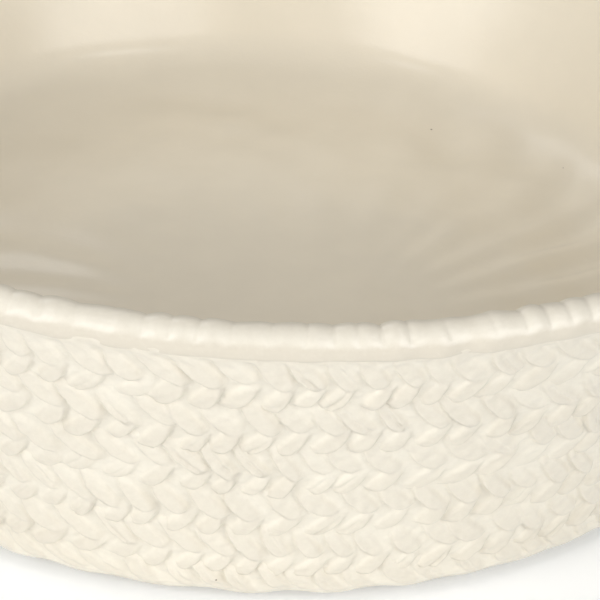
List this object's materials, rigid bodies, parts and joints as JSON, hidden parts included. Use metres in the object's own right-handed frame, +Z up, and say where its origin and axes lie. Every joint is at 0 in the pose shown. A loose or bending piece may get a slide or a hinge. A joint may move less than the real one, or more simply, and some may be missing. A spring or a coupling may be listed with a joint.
{
  "type": "yarn bowl",
  "caption": "Shallow round ceramic bowl with a plaited relief wall, a rolled rim, a curled slot in one side that guides yarn out, and soft bumpers to stand on.",
  "frame": {"origin": "centre of the bowl, on the plane the bumpers stand on", "axes": "+Z up through the bowl's axis, +X through the side with the yarn slot, -Y the side that faces the viewer"},
  "size_m": [0.18, 0.18, 0.0522],
  "materials": {
    "glaze": "satin cream glaze",
    "soft_rubber": "matt, translucent white"
  },
  "bodies": {
    "root": {"base_slab": "glaze", "plaited_wall": "glaze", "rolled_rim": "glaze", "bumper_1": "soft_rubber", "bumper_2": "soft_rubber", "bumper_3": "soft_rubber", "bumper_4": "soft_rubber"}
  },
  "joints": []
}
